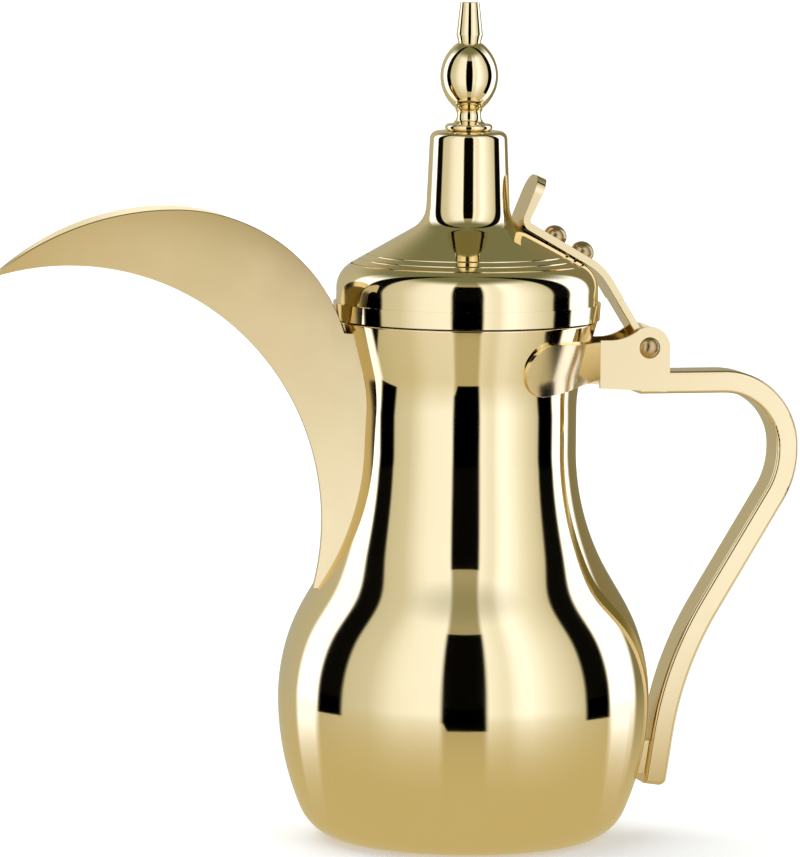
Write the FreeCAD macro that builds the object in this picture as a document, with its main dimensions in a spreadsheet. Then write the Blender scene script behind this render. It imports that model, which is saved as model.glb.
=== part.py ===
import FreeCAD, Part
import Sketcher
import math
import os
from FreeCAD import Placement, Rotation, Vector

# Dallah coffee pot. Millimetres, +Z up, beak toward -X, handle toward +X, origin at the middle of the foot.
doc = FreeCAD.newDocument("coffee_pot")
dims = doc.addObject("Spreadsheet::Sheet", "dims")

# Pot body, a drawn bowl, shoulder and neck joined at the belly line and above it
foot_radius = 39.0  # outer radius of the flat foot
belly_radius = 62.2  # largest radius of the belly
belly_height = 47.5  # height of the largest radius
lower_belly_curve = 95.0  # profile radius below the belly line
upper_belly_curve = 67.0  # profile radius above the belly line
waist_radius = 36.9  # smallest radius of the neck
waist_rise = 84.0  # belly line to the end of the waist arc
neck_straight = 12.9  # straight run above the waist
mouth_flare = 6.6  # growth of the radius from the waist to the mouth
flare_rise = 29.3  # height of the neck's flare
flare_curve = 46.0  # profile radius of the flare's foot
lip_curve = 2.0  # profile radius of the lip
lip_straight = 0.4  # upright run of the lip
wall = 1.0  # sheet thickness of the spun shells
base_pan_thickness = 1.0  # thickness of the bottom pan
base_pan_turn = 28.6  # angle the pan's edge turns up, degrees
strainer_hole_radius = 2.0  # holes through the neck behind the spout
strainer_pitch = 8.0  # spacing of the strainer rows
strainer_drop = 13.5  # lowest strainer hole below the waist's upper end
waist_height = belly_height + waist_rise
flare_start = waist_height + neck_straight
lip_height = flare_start + flare_rise
body_height = lip_height + lip_straight
mouth_radius = waist_radius + mouth_flare
strainer_height = waist_height - strainer_drop

# Spout, two conical crescent walls meeting on a keel
keel_gap = 11.4  # keel arc's nearest point beyond the waist
keel_drop = 66.9  # centre of the keel arc below the mouth rim
keel_radius = 87.2  # radius of the rounded keel line
keel_blunt = 1.0  # depth trimmed from the sharp keel
spout_spread = 16.0  # half width where the wall cone is set out
spread_shift_x = 14.3  # shift of the wide circle along X
spread_shift_z = 10.4  # shift of the wide circle in height
spread_gain = 25.7  # growth of the wide circle's radius
spout_sheet = 0.8  # sheet measured across the pot
spout_sheet_radial = 0.8  # sheet measured along the wall's height
crest_out = 64.1  # highest point of the spout's edge beyond the waist
crest_rise = 38.4  # highest point of the spout's edge above the mouth rim
crest_front_curve = 90.5  # edge radius from the crest to the tip
crest_back_curve = 60.0  # edge radius from the crest to the neck
spout_edge_drop = 3.1  # spout's edge at the neck below the mouth rim
spout_foot_drop = 22.2  # spout's lower end below the keel's centre
keel_centre_x = -(waist_radius + keel_gap + keel_radius)
keel_centre_z = body_height - keel_drop
crest_x = -(waist_radius + crest_out)
crest_z = body_height + crest_rise
spout_edge_height = body_height - spout_edge_drop
spout_foot_height = keel_centre_z - spout_foot_drop

# Lid, a spun shell with a chimney, a band and an inner liner
lid_overhang = 0.2  # lid's upper band beyond the mouth
lid_gap = 0.6  # gap between the mouth rim and the lid's lower edge
lid_band_height = 15.5  # lower edge to the corner of band and slope
lid_slope_drop = 17.1  # fall of the slope from the chimney to the band
lid_shoulder_curve = 9.5  # rounding of the shoulder
lid_flare_curve = 9.0  # hollow rounding below the chimney
chimney_foot_radius = 14.1  # chimney radius at its foot
chimney_taper = 1.3  # fall of the chimney's radius to its top
chimney_rise = 30.0  # slope's upper corner to the chimney's flat top
chimney_edge_curve = 2.6  # rounding of the chimney's top edge
lid_groove_radius = 0.45  # round tool of the shoulder grooves
lid_groove_inset = 10.1  # innermost shoulder groove inside the band
lid_groove_pitch = 2.6  # radial spacing of the shoulder grooves
rim_ring_height = 5.5  # height of the stepped band
rim_ring_top = 1.0  # thickness of the stepped band at its top edge
rim_ring_bottom = 0.6  # thickness of the stepped band at its bottom edge
liner_plug_inset = 5.1  # liner's plug inside the lid's band
liner_plug_depth = 4.4  # depth of the plug below the liner's flange
liner_thickness = 0.9  # sheet thickness of the liner
liner_gap = 0.4  # gap between the liner's flange and the mouth rim
lid_radius = mouth_radius + lid_overhang
lid_bottom = body_height + lid_gap
lid_knee_height = lid_bottom + lid_band_height
chimney_top_radius = chimney_foot_radius - chimney_taper
chimney_height = lid_knee_height + lid_slope_drop + chimney_rise
lid_groove_first = lid_radius - lid_groove_inset
liner_plug_radius = lid_radius - liner_plug_inset

# Finial, turned pieces stacked on a threaded rod
collar_radius = 7.9  # radius of the finial's collar
collar_height = 2.4  # height of the finial's collar
stem_radius = 4.0  # slimmest radius of the stem
stem_end_radius = 4.7  # radius of the stem's upper end
stem_foot_radius = 5.7  # radius of the stem's foot
stem_height = 4.9  # height of the stem
stem_waist_rise = 2.6  # height of the slimmest ring above the stem's foot
egg_radius = 9.6  # largest radius of the egg
egg_height = 21.8  # height of the egg
egg_end_radius = 4.2  # radius of the egg's flat ends
tip_foot_radius = 3.7  # radius of the tip's foot
tip_radius = 4.4  # largest radius of the tip
tip_foot_height = 2.8  # height of the tip's widening foot
tip_end_radius = 3.2  # radius of the tip's flat end
tip_height = 13.6  # height of the tip
rod_radius = 2.0  # radius of the finial rod
rod_clearance = 0.1  # radial clearance round the rod
rod_below = 5.6  # rod length below the chimney's inner face
rod_into_tip = 7.5  # rod length held in the tip
nut_radius = 4.2  # corner radius of the hexagon nut
nut_height = 3.0  # height of the hexagon nut
finial_washer_radius = 5.6  # radius of the washer above the nut
finial_washer_thickness = 0.9  # thickness of that washer

# Hinge, strap, knuckle and bracket
pin_reach = 17.5  # hinge axis beyond the mouth
pin_drop = 9.3  # hinge axis below the mouth rim
pin_radius = 2.0  # radius of the hinge pin
pin_press = 0.02  # radial fit of the pin in the cheeks
pin_running = 0.06  # radial running clearance in the knuckle
pin_head_radius = 3.6  # radius of the pin's domed head
pin_head_height = 2.0  # height of the pin's domed head
pin_tail = 1.4  # pin length held in the far cap
strap_width = 16.0  # width of the strap
strap_thickness = 2.5  # thickness of the strap
strap_seat = 0.05  # gap between the strap and the lid
strap_bend_radius = 20.0  # centre line radius of the strap's shoulder bend
strap_top_gap = 3.5  # bend of the thumb tab beyond the chimney's foot
tab_length = 16.6  # length of the thumb tab
tab_angle = 65.7  # slope of the thumb tab
tab_bend_radius = 2.6  # centre line radius of the tab's bend
tab_flare = 0.5  # growth of the tab toward its tip on each face
tab_corner_radius = 6.0  # rounding of the tab's corners
strap_lean = 58.0  # slope of the strap beside the lid
tongue_length = 19.0  # pin axis to the seam with the strap
knuckle_half_width = 6.6  # half width of the knuckle
knuckle_radius = 4.4  # radius of the knuckle's barrel
spacer_radius = 4.2  # radius of the hinge spacers
spacer_thickness = 0.5  # thickness of the hinge spacers
rivet_first = 13.2  # tab bend to the first rivet along the strap
rivet_pitch = 10.9  # spacing of the rivets
rivet_head_radius = 3.9  # radius of the rivet heads
rivet_head_height = 4.4  # height of the rivet heads
rivet_rim_height = 1.5  # upright rim below the rivet's dome
rivet_shank_radius = 1.8  # radius of the rivet shanks
rivet_clearance = 0.05  # radial clearance round the rivet shanks
rivet_washer_radius = 2.8  # radius of the rivet washers
rivet_washer_thickness = 0.8  # thickness of the rivet washers
rivet_washer_seat = 0.2  # gap between washer and the curved lid
cheek_thickness = 1.5  # sheet thickness of the bracket
cheek_front_gap = 0.5  # fold between cheek and leaf beyond the mouth
cheek_below = 14.8  # lower edge of the cheeks at the handle below the pin
cheek_front_below = 13.5  # lower edge of the cheeks at the fold below the pin
cheek_shelf_rise = 2.6  # upper edge of the cheeks beside the fold above the pin
cheek_lobe_radius = 7.1  # rounding of the cheek about the pin
cheek_hollow_radius = 15.0  # hollow between shelf and lobe
cheek_corner_radius = 1.5  # rounding of the lower corner
leaf_angle = 61.8  # direction of the leaf's rounded end about the axis
leaf_drop = 14.1  # leaf's rounded end below the mouth rim
leaf_end_radius = 8.8  # radius of the leaf's rounded end
leaf_run = 18.0  # leaf length from its rounded end to the web
web_drop = 7.3  # upper edge of the web below the mouth rim
web_height = 12.2  # height of the web at the fold
web_lap_angle = 1.5  # overlap of web and leaf about the axis
pin_x = mouth_radius + pin_reach
pin_z = body_height - pin_drop
strap_top_x = chimney_foot_radius + strap_top_gap
cheek_front_x = mouth_radius + cheek_front_gap
cheek_bottom = pin_z - cheek_below
cheek_front_bottom = pin_z - cheek_front_below
cheek_shelf = pin_z + cheek_shelf_rise
leaf_middle = body_height - leaf_drop
web_top = body_height - web_drop
web_bottom = web_top - web_height

# Handle, a bent bar
bar_width = 14.5  # width of the handle bar and gap between the cheeks
bar_thickness = 7.5  # thickness of the handle bar
bar_edge = 1.2  # rounding of the bar's long edges
bar_start_back = 2.5  # bar end between the cheeks behind the pin
bar_below = 11.9  # upper run's centre line below the pin
bar_reach = 47.9  # outermost run's centre line beyond the belly
bar_elbow_drop = 31.7  # elbow's corner point below the upper run
bar_knee_out = 9.0  # knee's corner point beyond the belly
bar_knee_rise = 9.5  # knee's corner point above the belly line
bar_foot_out = 2.9  # lower end of the centre line beyond the belly
bar_foot_drop = 30.9  # lower end of the centre line below the belly line
bar_corner_radius = 22.4  # centre line radius of the upper corner
bar_elbow_radius = 30.0  # centre line radius of the elbow
bar_knee_radius = 118.0  # centre line radius of the knee
bar_end_radius = 2.6  # rounding of the bar's lower end
pad_half_width = 5.5  # half width of the pad behind the bar's lower end
pad_height = 11.0  # height of the pad
pad_drop = 16.0  # upper edge of the pad below the belly line
bar_start_x = pin_x - bar_start_back
bar_top_z = pin_z - bar_below
bar_reach_x = belly_radius + bar_reach
bar_elbow_z = bar_top_z - bar_elbow_drop
bar_knee_x = belly_radius + bar_knee_out
bar_knee_z = belly_height + bar_knee_rise
bar_foot_x = belly_radius + bar_foot_out
bar_foot_z = belly_height - bar_foot_drop
pad_top = belly_height - pad_drop
pad_bottom = pad_top - pad_height

# The sheet holds every size above, and all the pieces read it from there
sizes = [item for item in globals().items() if isinstance(item[1], float)]
for row, (name, value) in enumerate(sizes, start=1):
    dims.set(f"A{row}", name)
    dims.set(f"B{row}", str(value))
    dims.setAlias(f"B{row}", name)
doc.recompute()


def get(name):
    return float(getattr(dims, name))


def along(point, direction, length):
    return (point[0] + direction[0] * length, point[1] + direction[1] * length)


def unit(start, end):
    length = math.dist(start, end)
    return ((end[0] - start[0]) / length, (end[1] - start[1]) / length)


def polar(degrees):
    return (math.cos(math.radians(degrees)), math.sin(math.radians(degrees)))


def line(start, end):
    return {"start": start, "end": end}


def arc(centre, start, end, turn):
    """A circular piece; turn is 1 counter-clockwise and -1 clockwise."""
    return {"start": start, "end": end, "centre": centre, "turn": turn}


def shifted(pieces, distance):
    """The same chain moved to its left side by a distance."""
    moved = []
    for piece in pieces:
        start, end = piece["start"], piece["end"]
        if "centre" in piece:
            centre, turn = piece["centre"], piece["turn"]
            radius = math.dist(centre, start) - turn * distance
            moved.append(arc(centre, along(centre, unit(centre, start), radius),
                             along(centre, unit(centre, end), radius), turn))
        else:
            way = unit(start, end)
            left = (-way[1], way[0])
            moved.append(line(along(start, left, distance), along(end, left, distance)))
    return moved


def backwards(pieces):
    turned_round = []
    for piece in reversed(pieces):
        if "centre" in piece:
            turned_round.append(arc(piece["centre"], piece["end"], piece["start"], -piece["turn"]))
        else:
            turned_round.append(line(piece["end"], piece["start"]))
    return turned_round


def closed(pieces):
    """Join the chain's loose ends with straight lines."""
    joined = []
    for piece, after in zip(pieces, pieces[1:] + pieces[:1]):
        joined.append(piece)
        if math.dist(piece["end"], after["start"]) > 1e-7:
            joined.append(line(piece["end"], after["start"]))
    return joined


def rounded(points, radii):
    """A chain of straight lines with its inner corners rounded."""
    pieces = []
    start = points[0]
    for before, corner, after, radius in zip(points, points[1:], points[2:], radii):
        come, go = unit(before, corner), unit(corner, after)
        cross = come[0] * go[1] - come[1] * go[0]
        turn = 1 if cross > 0 else -1
        angle = math.atan2(abs(cross), come[0] * go[0] + come[1] * go[1])
        reach = radius * math.tan(angle / 2)
        enter, leave = along(corner, come, -reach), along(corner, go, reach)
        centre = along(enter, (-come[1], come[0]), turn * radius)
        if math.dist(start, enter) > 1e-7:
            pieces.append(line(start, enter))
        pieces.append(arc(centre, enter, leave, turn))
        start = leave
    pieces.append(line(start, points[-1]))
    return pieces


def polygon(points):
    return [line(start, end) for start, end in zip(points, points[1:] + points[:1])]


def curve(piece):
    """Geometry of one piece, with whether it runs against its own chain."""
    start, end = piece["start"], piece["end"]
    if "centre" not in piece:
        return Part.LineSegment(Vector(*start, 0), Vector(*end, 0)), False
    centre = piece["centre"]
    first = math.atan2(start[1] - centre[1], start[0] - centre[0])
    last = math.atan2(end[1] - centre[1], end[0] - centre[0])
    against = piece["turn"] < 0
    if against:
        first, last = last, first
    while last <= first:
        last += 2 * math.pi
    circle = Part.Circle(Vector(*centre, 0), Vector(0, 0, 1), math.dist(centre, start))
    return Part.ArcOfCircle(circle, first, last), against


def new_sketch(body, role, name, offset=None):
    sketch = body.newObject("Sketcher::SketchObject", name)
    plane = next(part for part in body.Origin.OriginFeatures if part.Role == role)
    sketch.AttachmentSupport = (plane, [""])
    sketch.MapMode = "FlatFace"
    if offset is not None:
        sketch.AttachmentOffset = offset
    return sketch


def draw(sketch, pieces, ties=()):
    """Draw a closed chain and tie chosen piece starts or radii to cells of the sheet."""
    ends = []
    for piece in pieces:
        shape, against = curve(piece)
        index = sketch.addGeometry(shape)
        ends.append((index, 2, 1) if against else (index, 1, 2))
    for this, after in zip(ends, ends[1:] + ends[:1]):
        sketch.addConstraint(Sketcher.Constraint("Coincident", this[0], this[2], after[0], after[1]))
    for number, kind, expression in ties:
        index, first, _ = ends[number]
        piece = pieces[number]
        if kind == "Radius":
            radius = math.dist(piece["centre"], piece["start"])
            tie = sketch.addConstraint(Sketcher.Constraint("Radius", index, radius))
        else:
            place = piece["start"]["XY".index(kind[-1])]
            tie = sketch.addConstraint(Sketcher.Constraint(kind, -1, 1, index, first, place))
        sketch.setExpression(f"Constraints[{tie}]", expression)
    return ends


def new_body(name):
    body = doc.addObject("PartDesign::Body", name)
    body.Label = name
    return body


def turned(name, pieces, ties=(), place=None):
    """A piece turned about its own upright axis."""
    body = new_body(name)
    sketch = new_sketch(body, "XZ_Plane", f"{name}_outline")
    draw(sketch, pieces, ties)
    spin = body.newObject("PartDesign::Revolution", f"{name}_spin")
    spin.Profile = sketch
    spin.ReferenceAxis = (sketch, ["V_Axis"])
    spin.Angle = 360
    body.Tip = spin
    if place is not None:
        body.Placement = place
    doc.recompute()
    return body


def across(name, pieces, width, ties=()):
    """A plate or bar drawn from the side and padded evenly across the pot."""
    body = new_body(name)
    sketch = new_sketch(body, "XZ_Plane", f"{name}_outline")
    draw(sketch, pieces, ties)
    pad = body.newObject("PartDesign::Pad", f"{name}_pad")
    pad.Profile = sketch
    pad.SideType = "Symmetric"
    pad.setExpression("Length", width)
    body.Tip = pad
    doc.recompute()
    return body


def ring(inner, outer, low, high):
    return polygon([(inner, low), (outer, low), (outer, high), (inner, high)])


# Pot outline: the outside of the sheet from the foot's edge up to the mouth, outside on the right
foot, belly_r, belly_z = get("foot_radius"), get("belly_radius"), get("belly_height")
low_curve, high_curve = get("lower_belly_curve"), get("upper_belly_curve")
waist_r, waist_z, flare_z = get("waist_radius"), get("waist_height"), get("flare_start")
mouth_r, lip_z, lip_curve = get("mouth_radius"), get("lip_height"), get("lip_curve")
rim_z, wall = get("body_height"), get("wall")
low_centre = (belly_r - low_curve, belly_z)
high_centre = (belly_r - high_curve, belly_z)
foot_reach = foot - low_centre[0]
corner_curve = (low_curve ** 2 - foot_reach ** 2 - belly_z ** 2) / (2 * (low_curve - belly_z))
corner_centre = (foot, corner_curve)
narrowing = belly_r - waist_r
inset = high_curve - narrowing
rise = waist_z - belly_z
waist_curve = (inset ** 2 + rise ** 2 - high_curve ** 2) / (2 * narrowing)
waist_centre = (waist_r + waist_curve, waist_z)
flare_curve = get("flare_curve")
flare_centre = (waist_r + flare_curve, flare_z)
lip_centre = (mouth_r - lip_curve, lip_z)
flare_turn = math.acos((flare_curve + lip_curve) / math.dist(flare_centre, lip_centre))
flare_turn += math.atan2(lip_centre[1] - flare_centre[1], lip_centre[0] - flare_centre[0])
flare_side = polar(math.degrees(flare_turn))
foot_joint = along(low_centre, unit(low_centre, corner_centre), low_curve)
waist_joint = along(high_centre, unit(high_centre, waist_centre), high_curve)
flare_end = along(flare_centre, flare_side, flare_curve)
lip_start = along(lip_centre, flare_side, -lip_curve)
neck_chain = [
    line((waist_r, waist_z), (waist_r, flare_z)),
    arc(flare_centre, (waist_r, flare_z), flare_end, -1),
    line(flare_end, lip_start),
    arc(lip_centre, lip_start, (mouth_r, lip_z), 1),
    line((mouth_r, lip_z), (mouth_r, rim_z)),
]
base_joint = along(corner_centre, polar(get("base_pan_turn") - 90), corner_curve)
base_chain = [line((0.0, 0.0), (foot, 0.0)), arc(corner_centre, (foot, 0.0), base_joint, 1)]
bowl_chain = [
    arc(corner_centre, base_joint, foot_joint, 1),
    arc(low_centre, foot_joint, (belly_r, belly_z), 1),
]
shoulder_chain = [arc(high_centre, (belly_r, belly_z), waist_joint, 1)]
upper_chain = [arc(waist_centre, waist_joint, (waist_r, waist_z), -1)] + neck_chain

# Base pan: a shallow pan with a turned-up edge, the face the pot stands on
base_thickness = get("base_pan_thickness")
base_pan = turned("base_pan", closed(base_chain + backwards(shifted(base_chain, base_thickness))), [
    (1, "DistanceX", "dims.foot_radius"),
    (4, "DistanceY", "dims.base_pan_thickness"),
])

# Pot bowl: the drawn lower piece, from the pan's edge to the belly line
pot_bowl = turned("pot_bowl", closed(bowl_chain + backwards(shifted(bowl_chain, wall))), [
    (1, "Radius", "dims.lower_belly_curve"),
    (2, "DistanceX", "dims.belly_radius"),
    (2, "DistanceY", "dims.belly_height"),
])

# Pot shoulder: the drawn middle piece, from the belly line to the joint below the neck
pot_shoulder = turned("pot_shoulder", closed(shoulder_chain + backwards(shifted(shoulder_chain, wall))), [
    (0, "Radius", "dims.upper_belly_curve"),
    (0, "DistanceX", "dims.belly_radius"),
    (0, "DistanceY", "dims.belly_height"),
])

# Pot neck: the drawn upper piece, from that joint up to the mouth rim
pot_neck = turned("pot_neck", closed(upper_chain + backwards(shifted(upper_chain, wall))), [
    (1, "DistanceX", "dims.waist_radius"),
    (1, "DistanceY", "dims.waist_height"),
    (2, "DistanceY", "dims.flare_start"),
    (2, "Radius", "dims.flare_curve"),
    (5, "DistanceX", "dims.mouth_radius"),
    (5, "DistanceY", "dims.lip_height"),
    (6, "DistanceY", "dims.body_height"),
])

# Strainer: a row of holes up the neck's wall behind the spout
strainer = new_sketch(pot_neck, "YZ_Plane", "strainer_holes")
hole_radius = get("strainer_hole_radius")
for row in range(6):
    middle = Vector(0, get("strainer_height") + row * get("strainer_pitch"), 0)
    hole = strainer.addGeometry(Part.Circle(middle, Vector(0, 0, 1), hole_radius))
    tie = strainer.addConstraint(Sketcher.Constraint("Radius", hole, hole_radius))
    strainer.setExpression(f"Constraints[{tie}]", "dims.strainer_hole_radius")
piercing = pot_neck.newObject("PartDesign::Pocket", "strainer_piercing")
piercing.Profile = strainer
piercing.setExpression("Length", "dims.belly_radius")
pot_neck.Tip = piercing
doc.recompute()

# Solid block of the pot's outside, used to seat what is welded on it
pot_block = turned("pot_block", closed(base_chain + bowl_chain + shoulder_chain + upper_chain
                                    + [line((mouth_r, rim_z), (0.0, rim_z))]))

# Spout: conical walls set out from the keel circle and a wider circle, cut to a crescent and to the pot
keel_centre = (get("keel_centre_x"), get("keel_centre_z"))
upright_circle = Rotation(Vector(1, 0, 0), 90)


def cone(name, grow, slip):
    """Solid cone between the keel circle and the wide circle beside it."""
    circles = []
    outlines = (("keel", 0, "0", "0"), ("wide", 1, "dims.spout_spread", "dims.spread_gain"))
    for label, shift, step, gain in outlines:
        circle = doc.addObject("Part::Circle", f"{name}_{label}")
        circle.setExpression("Radius", f"dims.keel_radius - dims.keel_blunt + {gain} + {grow}")
        circle.Placement = Placement(Vector(0, 0, 0), upright_circle)
        circle.setExpression("Placement.Base.x", f"dims.keel_centre_x + {shift} * dims.spread_shift_x")
        circle.setExpression("Placement.Base.y", f"{slip} - {step}")
        circle.setExpression("Placement.Base.z", f"dims.keel_centre_z + {shift} * dims.spread_shift_z")
        circles.append(circle)
    solid = doc.addObject("Part::Loft", name)
    solid.Sections = circles
    solid.Solid = True
    solid.Ruled = True
    return solid


outer_cone = cone("spout_outer_cone", "0", "0")
inner_cone = cone("spout_inner_cone", "dims.spout_sheet_radial", "dims.spout_sheet")
crest = (get("crest_x"), get("crest_z"))
front_centre = (crest[0], crest[1] - get("crest_front_curve"))
back_centre = (crest[0], crest[1] - get("crest_back_curve"))
edge_z = get("spout_edge_height")
back_end = (crest[0] + math.sqrt(get("crest_back_curve") ** 2 - (edge_z - back_centre[1]) ** 2), edge_z)
gap = math.dist(front_centre, keel_centre)
keel_r, front_r = get("keel_radius"), get("crest_front_curve")
share = (gap ** 2 + keel_r ** 2 - front_r ** 2) / (2 * gap)
chord_way = unit(keel_centre, front_centre)
chord_foot = along(keel_centre, chord_way, share)
tip = along(chord_foot, (-chord_way[1], chord_way[0]), math.sqrt(keel_r ** 2 - share ** 2))
root_z = get("spout_foot_height")
keel_end = (keel_centre[0] + math.sqrt(keel_r ** 2 - (root_z - keel_centre[1]) ** 2), root_z)
crescent = new_body("spout_crescent")
crescent_sketch = new_sketch(crescent, "XZ_Plane", "spout_crescent_outline")
draw(crescent_sketch, closed([
    arc(keel_centre, tip, keel_end, -1),
    line(keel_end, (-waist_r / 2, root_z)),
    line((-waist_r / 2, root_z), (-waist_r / 2, edge_z)),
    line((-waist_r / 2, edge_z), back_end),
    arc(back_centre, back_end, crest, 1),
    arc(front_centre, crest, tip, 1),
]), [(0, "Radius", "dims.keel_radius"), (3, "DistanceY", "dims.spout_edge_height"),
     (5, "DistanceX", "dims.crest_x"), (5, "DistanceY", "dims.crest_z"),
     (4, "Radius", "dims.crest_back_curve"), (5, "Radius", "dims.crest_front_curve")])
crescent_pad = crescent.newObject("PartDesign::Pad", "spout_crescent_pad")
crescent_pad.Profile = crescent_sketch
crescent_pad.setExpression("Length", "dims.spout_spread")
crescent.Tip = crescent_pad
doc.recompute()
spout_outside = doc.addObject("Part::Cut", "spout_outside")
spout_outside.Base = crescent
spout_outside.Tool = pot_block
spout_filled = doc.addObject("Part::Common", "spout_filled")
spout_filled.Base = spout_outside
spout_filled.Tool = inner_cone
spout_right = doc.addObject("Part::Cut", "spout_right_wall")
spout_right.Label = "spout_right_wall"
spout_right.Base = spout_filled
spout_right.Tool = outer_cone
spout_left = doc.addObject("Part::Mirroring", "spout_left_wall")
spout_left.Label = "spout_left_wall"
spout_left.Source = spout_right
spout_left.Normal = Vector(0, 1, 0)
doc.recompute()

# Lid outline: outside of the spun sheet from the band's lower edge up over the chimney's top
lid_r, lid_low, chimney_z = get("lid_radius"), get("lid_bottom"), get("chimney_height")
slope_foot = (lid_r, get("lid_knee_height"))
slope_head = (get("chimney_foot_radius"), get("lid_knee_height") + get("lid_slope_drop"))
lid_chain = rounded(
    [(lid_r, lid_low), slope_foot, slope_head, (get("chimney_top_radius"), chimney_z),
     (get("rod_radius") + get("rod_clearance"), chimney_z)],
    [get("lid_shoulder_curve"), get("lid_flare_curve"), get("chimney_edge_curve")],
)
slope_way = unit(slope_foot, slope_head)
slope_out = (slope_way[1], -slope_way[0])
rod_hole = get("rod_radius") + get("rod_clearance")
lid_pieces = closed(lid_chain + backwards(shifted(lid_chain, wall)))
lid_shell = turned("lid_shell", lid_pieces, [
    (0, "DistanceX", "dims.lid_radius"),
    (0, "DistanceY", "dims.lid_bottom"),
    (1, "Radius", "dims.lid_shoulder_curve"),
    (3, "Radius", "dims.lid_flare_curve"),
    (5, "Radius", "dims.chimney_edge_curve"),
    (6, "DistanceY", "dims.chimney_height"),
])
groove_sketch = new_sketch(lid_shell, "XZ_Plane", "lid_shoulder_grooves")
groove_radius = get("lid_groove_radius")
for number in range(3):
    groove_x = get("lid_groove_first") + number * get("lid_groove_pitch")
    slope_share = (slope_foot[0] - groove_x) / (slope_foot[0] - slope_head[0])
    middle = Vector(groove_x, slope_foot[1] + slope_share * get("lid_slope_drop"), 0)
    groove = groove_sketch.addGeometry(Part.Circle(middle, Vector(0, 0, 1), groove_radius))
    tie = groove_sketch.addConstraint(Sketcher.Constraint("Radius", groove, groove_radius))
    groove_sketch.setExpression(f"Constraints[{tie}]", "dims.lid_groove_radius")
grooves = lid_shell.newObject("PartDesign::Groove", "lid_shoulder_groove")
grooves.Profile = groove_sketch
grooves.ReferenceAxis = (groove_sketch, ["V_Axis"])
grooves.Angle = 360
lid_shell.Tip = grooves
doc.recompute()

# Lid rim ring: the stepped band pressed round the lid's lower edge
ring_top = lid_low + get("rim_ring_height")
lid_rim_ring = turned("lid_rim_ring", polygon([
    (lid_r, lid_low), (lid_r + get("rim_ring_bottom"), lid_low),
    (lid_r + get("rim_ring_top"), ring_top), (lid_r, ring_top),
]), [(0, "DistanceX", "dims.lid_radius"), (0, "DistanceY", "dims.lid_bottom"),
     (2, "DistanceX", "dims.lid_radius + dims.rim_ring_top"),
     (2, "DistanceY", "dims.lid_bottom + dims.rim_ring_height")])

# Lid liner: a pressed pan whose flange sits inside the lid and whose plug drops into the mouth
liner_low = rim_z + get("liner_gap")
liner_t = get("liner_thickness")
plug_r, plug_low = get("liner_plug_radius"), liner_low - get("liner_plug_depth")
liner_edge = lid_r - wall
liner_chain = [
    line((0.0, plug_low), (plug_r, plug_low)),
    line((plug_r, plug_low), (plug_r, liner_low)),
    line((plug_r, liner_low), (liner_edge, liner_low)),
    line((liner_edge, liner_low), (liner_edge, liner_low + 3 * liner_t)),
    line((liner_edge, liner_low + 3 * liner_t), (liner_edge - liner_t, liner_low + 3 * liner_t)),
    line((liner_edge - liner_t, liner_low + 3 * liner_t), (liner_edge - liner_t, liner_low + liner_t)),
    line((liner_edge - liner_t, liner_low + liner_t), (plug_r - liner_t, liner_low + liner_t)),
    line((plug_r - liner_t, liner_low + liner_t), (plug_r - liner_t, plug_low + liner_t)),
    line((plug_r - liner_t, plug_low + liner_t), (0.0, plug_low + liner_t)),
]
lid_liner = turned("lid_liner", closed(liner_chain), [
    (1, "DistanceX", "dims.liner_plug_radius"),
    (2, "DistanceY", "dims.body_height + dims.liner_gap"),
    (3, "DistanceX", "dims.lid_radius - dims.wall"),
])

# Finial: collar, stem, egg and tip stacked on a rod that a nut draws down inside the chimney
collar_top = chimney_z + get("collar_height")
stem_top = collar_top + get("stem_height")
egg_top = stem_top + get("egg_height")
tip_top = egg_top + get("tip_height")
collar_r = get("collar_radius")
collar_round = get("collar_height") / 2
collar_middle = (collar_r - collar_round, chimney_z + collar_round)
finial_collar = turned("finial_collar", closed([
    line((rod_hole, chimney_z), (collar_r - collar_round, chimney_z)),
    arc(collar_middle, (collar_middle[0], chimney_z), (collar_middle[0], collar_top), 1),
    line((collar_middle[0], collar_top), (rod_hole, collar_top)),
]), [(0, "DistanceX", "dims.rod_radius + dims.rod_clearance"), (0, "DistanceY", "dims.chimney_height"),
     (2, "DistanceY", "dims.chimney_height + dims.collar_height")])


def through(start, middle, end):
    """Circular piece through three points."""
    circle = Part.Circle(Vector(*start, 0), Vector(*middle, 0), Vector(*end, 0))
    centre = (circle.Center.x, circle.Center.y)
    cross = (middle[0] - start[0]) * (end[1] - middle[1]) - (middle[1] - start[1]) * (end[0] - middle[0])
    return arc(centre, start, end, 1 if cross > 0 else -1)


stem_waist = (get("stem_radius"), collar_top + get("stem_waist_rise"))
finial_stem = turned("finial_stem", closed([
    line((rod_hole, collar_top), (get("stem_foot_radius"), collar_top)),
    through((get("stem_foot_radius"), collar_top), stem_waist, (get("stem_end_radius"), stem_top)),
    line((get("stem_end_radius"), stem_top), (rod_hole, stem_top)),
]), [(1, "DistanceX", "dims.stem_foot_radius"), (2, "DistanceX", "dims.stem_end_radius"),
     (0, "DistanceX", "dims.rod_radius + dims.rod_clearance")])
egg_end = get("egg_end_radius")
finial_egg = turned("finial_egg", closed([
    line((rod_hole, stem_top), (egg_end, stem_top)),
    through((egg_end, stem_top), (get("egg_radius"), (stem_top + egg_top) / 2), (egg_end, egg_top)),
    line((egg_end, egg_top), (rod_hole, egg_top)),
]), [(1, "DistanceX", "dims.egg_end_radius"), (2, "DistanceX", "dims.egg_end_radius"),
     (0, "DistanceX", "dims.rod_radius + dims.rod_clearance")])
rod_top = egg_top + get("rod_into_tip")
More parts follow.
